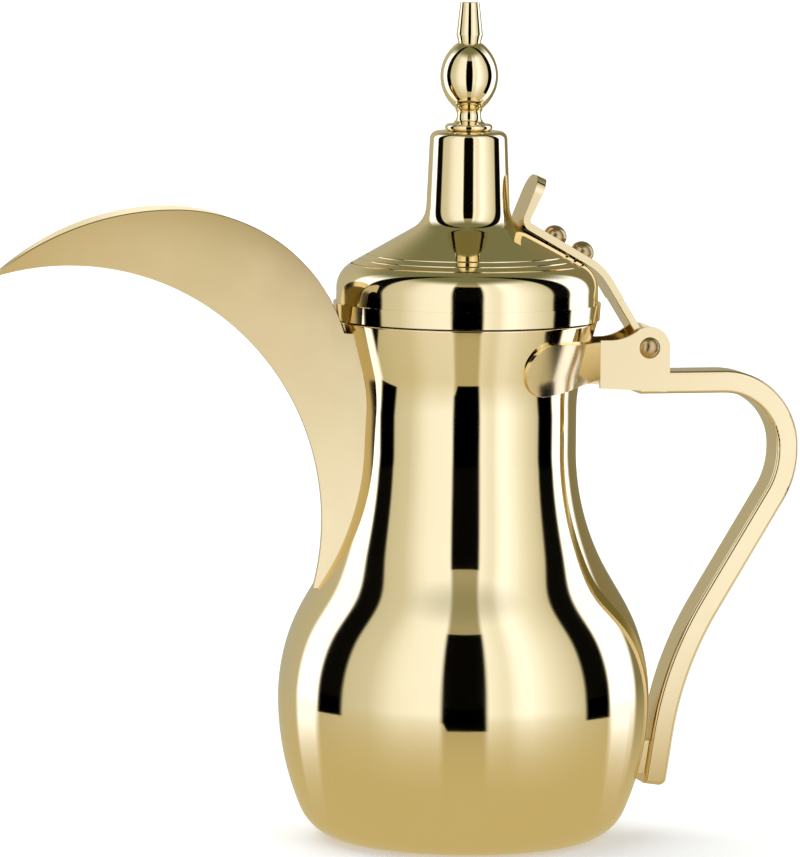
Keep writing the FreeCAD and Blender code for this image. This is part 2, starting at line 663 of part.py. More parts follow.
finial_tip = turned("finial_tip", polygon([
    (rod_hole, egg_top), (get("tip_foot_radius"), egg_top),
    (get("tip_radius"), egg_top + get("tip_foot_height")), (get("tip_end_radius"), tip_top),
    (0.0, tip_top), (0.0, rod_top), (rod_hole, rod_top),
]), [(1, "DistanceX", "dims.tip_foot_radius"), (2, "DistanceX", "dims.tip_radius"),
     (3, "DistanceX", "dims.tip_end_radius")])
chimney_under = chimney_z - wall
washer_low = chimney_under - get("finial_washer_thickness")
finial_washer = turned(
    "finial_washer", ring(rod_hole, get("finial_washer_radius"), washer_low, chimney_under),
    [(1, "DistanceX", "dims.finial_washer_radius"), (2, "DistanceY", "dims.chimney_height - dims.wall")])
finial_rod = doc.addObject("Part::Cylinder", "finial_rod")
finial_rod.Label = "finial_rod"
finial_rod.setExpression("Radius", "dims.rod_radius")
finial_rod.Height = rod_top - chimney_under + get("rod_below")
finial_rod.setExpression("Placement.Base.z", "dims.chimney_height - dims.wall - dims.rod_below")
nut_low = "dims.chimney_height - dims.wall - dims.finial_washer_thickness - dims.nut_height"
nut_blank = doc.addObject("Part::Prism", "nut_blank")
nut_blank.Polygon = 6
nut_blank.setExpression("Circumradius", "dims.nut_radius")
nut_blank.setExpression("Height", "dims.nut_height")
nut_blank.setExpression("Placement.Base.z", nut_low)
nut_bore = doc.addObject("Part::Cylinder", "nut_bore")
nut_bore.setExpression("Radius", "dims.rod_radius + dims.rod_clearance")
nut_bore.setExpression("Height", "dims.nut_height")
nut_bore.setExpression("Placement.Base.z", nut_low)
finial_nut = doc.addObject("Part::Cut", "finial_nut")
finial_nut.Label = "finial_nut"
finial_nut.Base = nut_blank
finial_nut.Tool = nut_bore
doc.recompute()

# Hinge strap: a bent flat bar riveted along the lid's slope, with a thumb tab turned up at its head
strap_half = get("strap_thickness") / 2
pin = (get("pin_x"), get("pin_z"))
seat = along(slope_head, slope_out, strap_half + get("strap_seat"))
tab_corner = along(seat, slope_way, (get("strap_top_x") - seat[0]) / slope_way[0])
lean = polar(180 - get("strap_lean"))
strap_cross = lean[0] * slope_way[1] - lean[1] * slope_way[0]
to_corner = (tab_corner[0] - pin[0], tab_corner[1] - pin[1])
strap_knee = along(pin, lean, (to_corner[0] * slope_way[1] - to_corner[1] * slope_way[0]) / strap_cross)
tab_tip = along(tab_corner, polar(get("tab_angle")), get("tab_length"))
seam = along(pin, lean, get("tongue_length"))
strap_bends = [get("strap_bend_radius"), get("tab_bend_radius")]
strap_chain = rounded([seam, strap_knee, tab_corner, tab_tip], strap_bends)
strap_top, strap_under = shifted(strap_chain, -strap_half), shifted(strap_chain, strap_half)
tab_side = unit(strap_under[-1]["end"], strap_top[-1]["end"])
tab_top = along(strap_top[-1]["end"], tab_side, get("tab_flare"))
tab_under = along(strap_under[-1]["end"], tab_side, -get("tab_flare"))
strap_top[-1] = line(strap_top[-1]["start"], tab_top)
strap_under[-1] = line(strap_under[-1]["start"], tab_under)
strap_outline = closed(strap_top + backwards(strap_under))
hinge_strap_blank = across("hinge_strap_blank", strap_outline, "dims.strap_width")
strap_pad = hinge_strap_blank.Tip
tip_middle = Vector((tab_top[0] + tab_under[0]) / 2, 0, (tab_top[1] + tab_under[1]) / 2)
tab_corners = []
for number, edge in enumerate(strap_pad.Shape.Edges, start=1):
    middle = Vector(edge.CenterOfMass.x, 0, edge.CenterOfMass.z)
    if edge.BoundBox.YLength < 1e-6 and middle.distanceToPoint(tip_middle) < strap_half / 2:
        tab_corners.append(f"Edge{number}")
tab_rounding = hinge_strap_blank.newObject("PartDesign::Fillet", "thumb_tab_corners")
tab_rounding.Base = (strap_pad, tab_corners)
tab_rounding.setExpression("Radius", "dims.tab_corner_radius")
hinge_strap_blank.Tip = tab_rounding
doc.recompute()

# Rivets: domed heads on the strap, shanks through strap and lid, headed over washers inside
rivet_turn = Rotation(Vector(0, 1, 0), math.degrees(math.atan2(slope_out[0], slope_out[1])))
down_slope = (-slope_way[0], -slope_way[1])
shank_length = get("strap_thickness") + get("strap_seat") + wall
shank_length += get("rivet_washer_seat") + get("rivet_washer_thickness")
head_r, head_h, shank_r = get("rivet_head_radius"), get("rivet_head_height"), get("rivet_shank_radius")
shank_fit = shank_r + get("rivet_clearance")
rim_h = get("rivet_rim_height")
dome = (head_r ** 2 + (head_h - rim_h) ** 2) / (2 * (head_h - rim_h))
rivet_pieces = closed([
    line((0.0, -shank_length), (shank_r, -shank_length)),
    line((shank_r, -shank_length), (shank_r, 0.0)),
    line((shank_r, 0.0), (head_r, 0.0)),
    line((head_r, 0.0), (head_r, rim_h)),
    arc((0.0, head_h - dome), (head_r, rim_h), (0.0, head_h), 1),
])
washer_high = -shank_length + get("rivet_washer_thickness")
rivet_drills = []
for name, distance in (("upper", get("rivet_first")), ("lower", get("rivet_first") + get("rivet_pitch"))):
    spot = along(along(tab_corner, down_slope, distance), slope_out, strap_half)
    place = Placement(Vector(spot[0], 0, spot[1]), rivet_turn)
    turned(f"strap_rivet_{name}", rivet_pieces, [(3, "DistanceX", "dims.rivet_head_radius"),
                                                 (1, "DistanceX", "dims.rivet_shank_radius")], place)
    turned(f"rivet_washer_{name}", ring(shank_fit, get("rivet_washer_radius"), -shank_length, washer_high),
           [(1, "DistanceX", "dims.rivet_washer_radius")], place)
    drill = doc.addObject("Part::Cylinder", f"rivet_drill_{name}")
    drill.setExpression("Radius", "dims.rivet_shank_radius + dims.rivet_clearance")
    drill.Height = 2 * shank_length
    drill.Placement = place * Placement(Vector(0, 0, -1.5 * shank_length), Rotation())
    rivet_drills.append(drill)


def drilled(name, blank, tools):
    """Cut round tools out of a finished blank."""
    drills = doc.addObject("Part::MultiFuse", f"{name}_drills")
    drills.Shapes = tools
    cut = doc.addObject("Part::Cut", name)
    cut.Label = name
    cut.Base = blank
    cut.Tool = drills
    doc.recompute()
    return cut


hinge_strap = drilled("hinge_strap", hinge_strap_blank, rivet_drills)
lid_shell.Label = "lid_shell_blank"
lid_shell_cut = drilled("lid_shell_pierced", lid_shell, rivet_drills)
lid_shell_cut.Label = "lid_shell"

# Hinge knuckle: the narrower tongue that is joined to the strap at the seam and turns on the pin
side = (-lean[1], lean[0])
barrel = get("knuckle_radius")
barrel_reach = math.sqrt(barrel ** 2 - strap_half ** 2)
tongue_left = along(along(pin, lean, barrel_reach), side, strap_half)
tongue_right = along(along(pin, lean, barrel_reach), side, -strap_half)
knuckle_blank = across("knuckle_blank", closed([
    line(tongue_right, along(seam, side, -strap_half)),
    line(along(seam, side, -strap_half), along(seam, side, strap_half)),
    line(along(seam, side, strap_half), tongue_left),
    arc(pin, tongue_left, tongue_right, 1),
]), "2 * dims.knuckle_half_width", [(3, "Radius", "dims.knuckle_radius")])
to_far_side = Rotation(Vector(1, 0, 0), -90)


def pin_drill(name, fit):
    drill = doc.addObject("Part::Cylinder", name)
    drill.setExpression("Radius", f"dims.pin_radius + {fit}")
    drill.setExpression("Height", "2 * dims.bar_width")
    drill.Placement = Placement(Vector(0, 0, 0), to_far_side)
    drill.setExpression("Placement.Base.x", "dims.pin_x")
    drill.setExpression("Placement.Base.y", "-dims.bar_width")
    drill.setExpression("Placement.Base.z", "dims.pin_z")
    return drill


hinge_knuckle = doc.addObject("Part::Cut", "hinge_knuckle")
hinge_knuckle.Label = "hinge_knuckle"
hinge_knuckle.Base = knuckle_blank
hinge_knuckle.Tool = pin_drill("knuckle_bore", "dims.pin_running")

# Hinge pin: domed head on the right cheek, its tail closed by a domed cap on the left cheek
bar_half = get("bar_width") / 2
cheek_out = bar_half + get("cheek_thickness")
pin_r, pin_head, pin_head_h = get("pin_radius"), get("pin_head_radius"), get("pin_head_height")
pin_dome = (pin_head ** 2 + pin_head_h ** 2) / (2 * pin_head_h)
pin_length = 2 * cheek_out + get("pin_tail")
to_right = Rotation(Vector(1, 0, 0), 90)
turned("hinge_pin", closed([
    line((0.0, -pin_length), (pin_r, -pin_length)),
    line((pin_r, -pin_length), (pin_r, 0.0)),
    line((pin_r, 0.0), (pin_head, 0.0)),
    arc((0.0, pin_head_h - pin_dome), (pin_head, 0.0), (0.0, pin_head_h), 1),
]), [(1, "DistanceX", "dims.pin_radius"), (3, "DistanceX", "dims.pin_head_radius")],
    Placement(Vector(pin[0], -cheek_out, pin[1]), to_right))
pin_fit = pin_r + get("pin_press")
turned("hinge_pin_cap", closed([
    line((pin_fit, 0.0), (pin_head, 0.0)),
    arc((0.0, pin_head_h - pin_dome), (pin_head, 0.0), (0.0, pin_head_h), 1),
    line((0.0, pin_head_h), (0.0, get("pin_tail"))),
    line((0.0, get("pin_tail")), (pin_fit, get("pin_tail"))),
]), [(1, "DistanceX", "dims.pin_head_radius"), (0, "DistanceX", "dims.pin_radius + dims.pin_press")],
    Placement(Vector(pin[0], cheek_out, pin[1]), to_far_side))
for name, start in (("right", -bar_half), ("left", bar_half - get("spacer_thickness"))):
    spacer = ring(pin_r + get("pin_running"), get("spacer_radius"), 0.0, get("spacer_thickness"))
    turned(f"hinge_spacer_{name}", spacer, [(1, "DistanceX", "dims.spacer_radius")],
           Placement(Vector(pin[0], start, pin[1]), to_far_side))

# Hinge bracket: each cheek is one sheet, folded at its front into a web and a leaf that hugs the neck
cheek_t = get("cheek_thickness")
lobe, hollow = get("cheek_lobe_radius"), get("cheek_hollow_radius")
front_x, shelf_z, cheek_low = get("cheek_front_x"), get("cheek_shelf"), get("cheek_bottom")
front_low = get("cheek_front_bottom")
hollow_z = shelf_z + hollow
hollow_x = pin[0] - math.sqrt((lobe + hollow) ** 2 - (hollow_z - pin[1]) ** 2)
hollow_centre = (hollow_x, hollow_z)
lobe_joint = along(pin, unit(pin, hollow_centre), lobe)
back_x = pin[0] + lobe
corner_r = get("cheek_corner_radius")
cheek_pieces = closed([
    line((front_x, front_low), (back_x - corner_r, cheek_low)),
    arc((back_x - corner_r, cheek_low + corner_r), (back_x - corner_r, cheek_low),
        (back_x, cheek_low + corner_r), 1),
    line((back_x, cheek_low + corner_r), (back_x, pin[1])),
    arc(pin, (back_x, pin[1]), lobe_joint, 1),
    arc(hollow_centre, lobe_joint, (hollow_x, shelf_z), -1),
    line((hollow_x, shelf_z), (front_x, shelf_z)),
])
cheek_plate = new_body("cheek_plate")
cheek_sketch = new_sketch(cheek_plate, "XZ_Plane", "cheek_plate_outline")
draw(cheek_sketch, cheek_pieces, [
    (0, "DistanceX", "dims.cheek_front_x"), (0, "DistanceY", "dims.cheek_front_bottom"),
    (3, "Radius", "dims.cheek_lobe_radius"), (3, "DistanceY", "dims.pin_z"),
    (5, "DistanceY", "dims.cheek_shelf")])
cheek_sketch.setExpression("AttachmentOffset.Base.z", "dims.bar_width / 2")
cheek_pad = cheek_plate.newObject("PartDesign::Pad", "cheek_plate_pad")
cheek_pad.Profile = cheek_sketch
cheek_pad.setExpression("Length", "dims.cheek_thickness")
cheek_plate.Tip = cheek_pad
doc.recompute()

leaf_ring = turned("leaf_ring", closed(shifted(neck_chain, -cheek_t) + backwards(neck_chain)))
leaf_r, leaf_z, leaf_run = get("leaf_end_radius"), get("leaf_middle"), get("leaf_run")
web_top, web_low = get("web_top"), get("web_bottom")
leaf_blank = new_body("leaf_blank")
leaf_sketch = new_sketch(leaf_blank, "XZ_Plane", "leaf_blank_outline")
leaf_high, leaf_low = leaf_z + leaf_r, leaf_z - leaf_r
draw(leaf_sketch, closed([
    arc((0.0, leaf_z), (0.0, leaf_high), (0.0, leaf_low), 1),
    line((0.0, leaf_low), (leaf_run, (leaf_low + web_low) / 2)),
    line((leaf_run, (leaf_low + web_low) / 2), (leaf_run, (leaf_high + web_top) / 2)),
]), [(0, "Radius", "dims.leaf_end_radius"), (2, "DistanceX", "dims.leaf_run")])
leaf_pad = leaf_blank.newObject("PartDesign::Pad", "leaf_blank_pad")
leaf_pad.Profile = leaf_sketch
leaf_pad.setExpression("Length", "dims.belly_radius")
leaf_blank.Tip = leaf_pad
leaf_blank.Placement = Placement(Vector(0, 0, 0), Rotation(Vector(0, 0, 1), 90 - get("leaf_angle")))
leaf = doc.addObject("Part::MultiCommon", "bracket_leaf")
leaf.Shapes = [leaf_ring, leaf_blank]
doc.recompute()


def neck_radius(height):
    """Outer radius of the neck at a height within its flare."""
    if height <= flare_z:
        return waist_r
    if height <= flare_end[1]:
        return flare_centre[0] - math.sqrt(flare_curve ** 2 - (height - flare_z) ** 2)
    slant = (lip_start[0] - flare_end[0]) / (lip_start[1] - flare_end[1])
    return flare_end[0] + slant * (height - flare_end[1])


def web_start(height, out):
    """Point on the leaf's last upright section."""
    radius = neck_radius(height) + out
    leaf_turn = math.degrees(math.asin(leaf_run / (neck_radius(leaf_z) + cheek_t)))
    aim = get("leaf_angle") - leaf_turn + get("web_lap_angle")
    way = polar(-aim)
    return Vector(way[0] * radius, way[1] * radius, height)


leaf_end_low, leaf_end_high = (leaf_low + web_low) / 2, (leaf_high + web_top) / 2
leaf_section = Part.makePolygon([
    web_start(leaf_end_low, 0.0), web_start(leaf_end_low, cheek_t),
    web_start(leaf_end_high, cheek_t), web_start(leaf_end_high, 0.0), web_start(leaf_end_low, 0.0)])
fold_section = Part.makePolygon([
    Vector(front_x, -bar_half, web_low), Vector(front_x, -cheek_out, web_low),
    Vector(front_x, -cheek_out, web_top), Vector(front_x, -bar_half, web_top),
    Vector(front_x, -bar_half, web_low)])
web = doc.addObject("Part::Feature", "bracket_web")
web.Shape = Part.makeLoft([leaf_section, fold_section], True, True)
bracket_blank = doc.addObject("Part::MultiFuse", "bracket_blank")
bracket_blank.Shapes = [leaf, web, cheek_plate]
bracket_blank.Refine = True
bracket_seat = doc.addObject("Part::MultiFuse", "bracket_tools")
bracket_seat.Shapes = [pot_block, pin_drill("cheek_bore", "dims.pin_press")]
bracket_right = doc.addObject("Part::Cut", "bracket_right_cheek")
bracket_right.Label = "bracket_right_cheek"
bracket_right.Base = bracket_blank
bracket_right.Tool = bracket_seat
bracket_left = doc.addObject("Part::Mirroring", "bracket_left_cheek")
bracket_left.Label = "bracket_left_cheek"
bracket_left.Source = bracket_right
bracket_left.Normal = Vector(0, 1, 0)
doc.recompute()

# Handle: a rounded bar from between the cheeks, out and down in a curve to the belly
bar_t = get("bar_thickness") / 2
bar_points = [
    (get("bar_start_x"), get("bar_top_z")), (get("bar_reach_x"), get("bar_top_z")),
    (get("bar_reach_x"), get("bar_elbow_z")), (get("bar_knee_x"), get("bar_knee_z")),
    (get("bar_foot_x"), get("bar_foot_z")),
]
bar_chain = rounded(bar_points, [get("bar_corner_radius"), get("bar_elbow_radius"), get("bar_knee_radius")])
bar_outer, bar_inner = shifted(bar_chain, bar_t), shifted(bar_chain, -bar_t)
end_r = get("bar_end_radius")
foot_way = unit(bar_outer[-1]["start"], bar_outer[-1]["end"])
foot_side = unit(bar_outer[-1]["end"], bar_inner[-1]["end"])
round_start = along(bar_outer[-1]["end"], foot_way, -end_r)
round_end = along(bar_outer[-1]["end"], foot_side, end_r)
bar_outer[-1] = line(bar_outer[-1]["start"], round_start)
bar_round = arc(along(round_start, foot_side, end_r), round_start, round_end, -1)
bar_outline = closed(bar_outer + [bar_round] + backwards(bar_inner))
handle_body = across("handle_bar", bar_outline, "dims.bar_width", [
    (0, "DistanceX", "dims.bar_start_x"),
    (0, "DistanceY", "dims.bar_top_z + dims.bar_thickness / 2"),
])
bar_pad = handle_body.Tip
long_edges = []
for number, edge in enumerate(bar_pad.Shape.Edges, start=1):
    box = edge.BoundBox
    at_start = box.XMax < get("bar_start_x") + 1e-6
    at_foot = box.ZMax < get("bar_foot_z") + end_r
    if box.YLength < 1e-6 and not at_start and not at_foot:
        long_edges.append(f"Edge{number}")
softened = handle_body.newObject("PartDesign::Fillet", "handle_bar_edges")
softened.Base = (bar_pad, long_edges)
softened.setExpression("Radius", "dims.bar_edge")
handle_body.Tip = softened
doc.recompute()

# Handle foot pad: a small block welded between the bar's lower end and the belly
foot_line = bar_inner[-1]


def bar_inner_x(height):
    """Inner face of the bar's straight lower end."""
    start, end = foot_line["start"], foot_line["end"]
    return start[0] + (height - start[1]) * (end[0] - start[0]) / (end[1] - start[1])


pad_low, pad_high = get("pad_bottom"), get("pad_top")
pad_blank = across("handle_pad_blank", polygon([
    (waist_r, pad_low), (bar_inner_x(pad_low), pad_low),
    (bar_inner_x(pad_high), pad_high), (waist_r, pad_high),
]), "2 * dims.pad_half_width", [(0, "DistanceY", "dims.pad_bottom"), (3, "DistanceY", "dims.pad_top")])
handle_pad = doc.addObject("Part::Cut", "handle_foot_pad")
handle_pad.Label = "handle_foot_pad"
handle_pad.Base = pad_blank
handle_pad.Tool = pot_block
doc.recompute()

NODES = (
    "base_pan", "pot_bowl", "pot_shoulder", "pot_neck", "spout_right_wall", "spout_left_wall",
    "bracket_right_cheek", "bracket_left_cheek", "handle_bar", "handle_foot_pad",
    "hinge_pin", "hinge_pin_cap", "hinge_spacer_right", "hinge_spacer_left",
    "lid_shell", "lid_rim_ring", "lid_liner", "hinge_strap",
    "hinge_knuckle", "strap_rivet_upper", "strap_rivet_lower", "rivet_washer_upper", "rivet_washer_lower",
    "finial_collar", "finial_stem", "finial_egg", "finial_tip", "finial_rod", "finial_washer", "finial_nut",
)
for item in doc.Objects:
    if "Invalid" in item.State or "Error" in item.State:
        raise RuntimeError(f"{item.Label} did not rebuild: {item.State}")
os.makedirs("parts", exist_ok=True)
for node in NODES:
    item = doc.getObjectsByLabel(node)[0]
    shape = item.Shape
    if shape.isNull() or not shape.isValid() or shape.Volume <= 0:
        raise RuntimeError(f"{node} has no valid solid")
    shape.exportStep(f"parts/{node}.step")
    print(f"{node}: {len(shape.Solids)} solid, {shape.Volume / 1000:.2f} cm3, box {shape.BoundBox}")
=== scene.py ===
import math
import bmesh
import bpy
from mathutils import Matrix, Vector


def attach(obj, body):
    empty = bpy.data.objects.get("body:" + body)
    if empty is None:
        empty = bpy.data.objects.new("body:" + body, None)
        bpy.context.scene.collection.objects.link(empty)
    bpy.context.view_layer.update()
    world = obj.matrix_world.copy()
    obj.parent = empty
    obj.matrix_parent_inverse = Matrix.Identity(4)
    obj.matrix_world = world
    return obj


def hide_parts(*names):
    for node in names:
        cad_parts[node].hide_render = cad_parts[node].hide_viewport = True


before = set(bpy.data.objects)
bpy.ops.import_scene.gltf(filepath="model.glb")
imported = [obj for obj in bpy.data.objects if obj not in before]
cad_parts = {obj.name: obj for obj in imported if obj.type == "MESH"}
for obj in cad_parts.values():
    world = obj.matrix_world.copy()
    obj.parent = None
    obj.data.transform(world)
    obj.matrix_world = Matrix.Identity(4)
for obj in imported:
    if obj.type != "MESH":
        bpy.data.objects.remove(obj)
bpy.context.view_layer.update()

# Pot body: a base pan and a bowl, shoulder and neck of drawn gold-coloured sheet, welded edge to edge and
# ground flush, so that they show as one mirror-polished skin. The neck flares to a plain mouth and is
# pierced with a column of strainer holes behind the spout.
mm = 0.001
foot_r, belly_r, belly_z = 39.0, 62.2, 47.5
low_curve, high_curve = 95.0, 67.0
waist_r, waist_z = 36.9, 131.5
flare_z, flare_curve = 144.4, 46.0
mouth_r, rim_z, rim = 43.5, 174.1, 0.35
sheet = 1.0
soft_run = 17.0
lip_support = 0.1
hole_r, hole_count, hole_low_z, hole_pitch = 2.0, 6, 118.0, 8.0
drill_length = 20.0


def bow(centre, radius, start, end, steps):
    """Points along an arc, angles in degrees."""
    turn = [math.radians(start + (end - start) * i / steps) for i in range(steps + 1)]
    return [(centre[0] + radius * math.cos(a), centre[1] + radius * math.sin(a)) for a in turn]


low_c = (belly_r - low_curve, belly_z)
high_c = (belly_r - high_curve, belly_z)
foot_curve = (low_curve ** 2 - (foot_r - low_c[0]) ** 2 - belly_z ** 2) / (2 * (low_curve - belly_z))
foot_c = (foot_r, foot_curve)
waist_in, waist_up = waist_r - high_c[0], waist_z - belly_z
waist_curve = (waist_in ** 2 + waist_up ** 2 - high_curve ** 2) / (2 * (high_curve - waist_in))
waist_c = (waist_r + waist_curve, waist_z)
flare_c = (waist_r + flare_curve, flare_z)
lip_c = (mouth_r - rim, rim_z - rim)
foot_turn = math.degrees(math.atan2(foot_c[1] - low_c[1], foot_c[0] - low_c[0]))
waist_turn = math.degrees(math.atan2(waist_c[1] - high_c[1], waist_c[0] - high_c[0]))
flare_turn = math.degrees(math.atan2(lip_c[1] - flare_c[1], lip_c[0] - flare_c[0])
                          + math.acos((flare_curve + rim) / math.dist(flare_c, lip_c)))
belly_end = waist_turn - math.degrees(soft_run / high_curve)
neck_start = 180 + waist_turn - math.degrees(soft_run / waist_curve)


def blended(centre_a, radius_a, end_a, centre_b, radius_b, start_b, steps):
    """Points from one arc to the next, which turns the other way, keeping lean and bend at both ends."""
    a, b = math.radians(end_a), math.radians(start_b)
    first = Vector((centre_a[0] + radius_a * math.cos(a), centre_a[1] + radius_a * math.sin(a)))
    last = Vector((centre_b[0] + radius_b * math.cos(b), centre_b[1] + radius_b * math.sin(b)))
    run = (last - first).length
    lean_a = Vector((-math.sin(a), math.cos(a))) * run
    lean_b = Vector((math.sin(b), -math.cos(b))) * run
    bend_a = (Vector(centre_a) - first) * (run / radius_a) ** 2
    bend_b = (Vector(centre_b) - last) * (run / radius_b) ** 2
    out = []
    for i in range(1, steps):
        u = i / steps
        ease = 10 * u ** 3 - 15 * u ** 4 + 6 * u ** 5
        point = first * (1 - ease) + last * ease
        point += lean_a * (u - 6 * u ** 3 + 8 * u ** 4 - 3 * u ** 5)
        point += lean_b * (7 * u ** 4 - 4 * u ** 3 - 3 * u ** 5)
        point += bend_a * (0.5 * u ** 2 - 1.5 * u ** 3 + 1.5 * u ** 4 - 0.5 * u ** 5)
        point += bend_b * (0.5 * u ** 3 - u ** 4 + 0.5 * u ** 5)
        out.append(tuple(point))
    return out


def pot_skin(inset, share):
    """Outline of the sheet's face at that depth, from the foot up to the end of the flare."""
    belly_face, neck_face = high_curve - inset, waist_curve + inset
    return (bow(foot_c, foot_curve - inset, -90, foot_turn, int(16 * share))
            + bow(low_c, low_curve - inset, foot_turn, 0, int(16 * share))[1:]
            + bow(high_c, belly_face, 0, belly_end, int(26 * share))[1:]
            + blended(high_c, belly_face, belly_end, waist_c, neck_face, neck_start, int(30 * share))
            + bow(waist_c, neck_face, neck_start, 180, int(30 * share))
            + bow(flare_c, flare_curve + inset, 180, flare_turn, int(20 * share)))


def finished(name, bm, crease=32.0):
    """A smooth-shaded object from the mesh being built, with its normals outward."""
    bmesh.ops.remove_doubles(bm, verts=bm.verts, dist=1e-6)
    bmesh.ops.recalc_face_normals(bm, faces=bm.faces)
    mesh = bpy.data.meshes.new(name)
    bm.to_mesh(mesh)
    bm.free()
    mesh.shade_smooth()
    mesh.set_sharp_from_angle(angle=math.radians(crease))
    piece = bpy.data.objects.new(name, mesh)
    bpy.context.scene.collection.objects.link(piece)
    return piece


def spun(name, outline, loop=True):
    """A piece turned about the pot's axis from an outline of radius and height, long runs cut short."""
    rounds, longest_run = 240, 3.0
    line = []
    for a, b in zip(outline, outline[1:] + outline[:1] if loop else outline[1:]):
        count = int(math.dist(a, b) / longest_run) + 1
        line += [(a[0] + (b[0] - a[0]) * i / count, a[1] + (b[1] - a[1]) * i / count) for i in range(count)]
    if not loop:
        line.append(outline[-1])
    bm = bmesh.new()
    ring = [bm.verts.new((r * mm, 0.0, z * mm)) for r, z in line]
    edges = [bm.edges.new(pair) for pair in zip(ring, ring[1:] + ring[:1] if loop else ring[1:])]
    bmesh.ops.spin(bm, geom=ring + edges, axis=(0, 0, 1), cent=(0, 0, 0), steps=rounds,
                   angle=2 * math.pi, use_merge=True)
    return finished(name, bm)


marks = bpy.data.node_groups.new("handling_marks", "ShaderNodeTree")
marks.interface.new_socket("Size", in_out="INPUT", socket_type="NodeSocketFloat").default_value = 30.0
marks.interface.new_socket("Cloud", in_out="OUTPUT", socket_type="NodeSocketFloat")
marks.interface.new_socket("Hairline", in_out="OUTPUT", socket_type="NodeSocketFloat")
given, shown = marks.nodes.new("NodeGroupInput"), marks.nodes.new("NodeGroupOutput")
place = marks.nodes.new("ShaderNodeTexCoord")
cloud = marks.nodes.new("ShaderNodeTexNoise")
cloud.inputs["Detail"].default_value = 4.0
cloud.inputs["Roughness"].default_value = 0.6
drawn = marks.nodes.new("ShaderNodeMapping")
drawn.inputs["Scale"].default_value = (1.0, 1.0, 22.0)
hair = marks.nodes.new("ShaderNodeTexNoise")
hair.inputs["Scale"].default_value = 70.0
hair.inputs["Detail"].default_value = 6.0
marks.links.new(given.outputs["Size"], cloud.inputs["Scale"])
marks.links.new(place.outputs["Object"], cloud.inputs["Vector"])
marks.links.new(place.outputs["Object"], drawn.inputs["Vector"])
marks.links.new(drawn.outputs["Vector"], hair.inputs["Vector"])
marks.links.new(cloud.outputs["Fac"], shown.inputs["Cloud"])
marks.links.new(hair.outputs["Fac"], shown.inputs["Hairline"])


def polished(name, clean, dull, sheen, worn, size, hairline):
    """Metal with a clouded polish: clean and dull colours, roughness from sheen to worn, buffing lines."""
    mat = bpy.data.materials.new(name)
    mat.use_nodes = True
    tree = mat.node_tree
    metal = tree.nodes["Principled BSDF"]
    metal.inputs["Metallic"].default_value = 1.0
    wear = tree.nodes.new("ShaderNodeGroup")
    wear.node_tree = marks
    wear.inputs["Size"].default_value = size
    tone = tree.nodes.new("ShaderNodeMix")
    tone.data_type = "RGBA"
    tone.inputs["A"].default_value = (*clean, 1.0)
    tone.inputs["B"].default_value = (*dull, 1.0)
    gloss = tree.nodes.new("ShaderNodeMapRange")
    gloss.inputs["From Min"].default_value = 0.3
    gloss.inputs["From Max"].default_value = 0.7
    gloss.inputs["To Min"].default_value = sheen
    gloss.inputs["To Max"].default_value = worn
    buff = tree.nodes.new("ShaderNodeBump")
    buff.inputs["Strength"].default_value = hairline
    buff.inputs["Distance"].default_value = 0.0001
    tree.links.new(wear.outputs["Cloud"], tone.inputs["Factor"])
    tree.links.new(wear.outputs["Cloud"], gloss.inputs["Value"])
    tree.links.new(wear.outputs["Hairline"], buff.inputs["Height"])
    tree.links.new(tone.outputs["Result"], metal.inputs["Base Color"])
    tree.links.new(gloss.outputs["Result"], metal.inputs["Roughness"])
    tree.links.new(buff.outputs["Normal"], metal.inputs["Normal"])
    return mat


gold = polished("pale_gold_mirror", (0.94, 0.79, 0.47), (0.91, 0.75, 0.42), 0.035, 0.07, 30.0, 0.006)


def dressed(piece, body, metal, finish, *nodes):
    """Gives a new piece its metal, and puts it on its body in place of the plain nodes."""
    piece.data.materials.clear()
    piece.data.materials.append(metal)
    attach(piece, body)
    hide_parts(*nodes)


outer_skin = pot_skin(0.0, 1.0)
lip = bow(lip_c, rim, flare_turn - 180, 90, 5)
inner_lip = bow((mouth_r - sheet + rim, rim_z - rim), rim, 90, flare_turn, 5)
near_lip = Vector(lip[0]).lerp(Vector(outer_skin[-1]), lip_support / math.dist(lip[0], outer_skin[-1]))
pot_outline = ([(0.0, 0.0)] + outer_skin + [tuple(near_lip)] + lip + inner_lip
               + pot_skin(sheet, 0.6)[::-1] + [(0.0, sheet)])
pot_body = spun("pot_body", pot_outline, loop=False)
holes = bmesh.new()
for row in range(hole_count):
    spot = Matrix.Translation((-(waist_r + sheet) * mm, 0.0, (hole_low_z + hole_pitch * row) * mm))
    bmesh.ops.create_cone(holes, cap_ends=True, segments=24, radius1=hole_r * mm, radius2=hole_r * mm,
                          depth=drill_length * mm, matrix=spot @ Matrix.Rotation(math.pi / 2, 4, "Y"))
drill = finished("strainer_drill", holes)
cut = pot_body.modifiers.new("strainer", "BOOLEAN")
cut.object = drill
cut.solver = "EXACT"
bpy.context.view_layer.update()
pierced = bpy.data.meshes.new_from_object(pot_body.evaluated_get(bpy.context.evaluated_depsgraph_get()))
pot_body.modifiers.clear()
pot_body.data = pierced
bpy.data.objects.remove(drill)
dressed(pot_body, "pot", gold, "gold_finish", "base_pan", "pot_bowl", "pot_shoulder", "pot_neck")

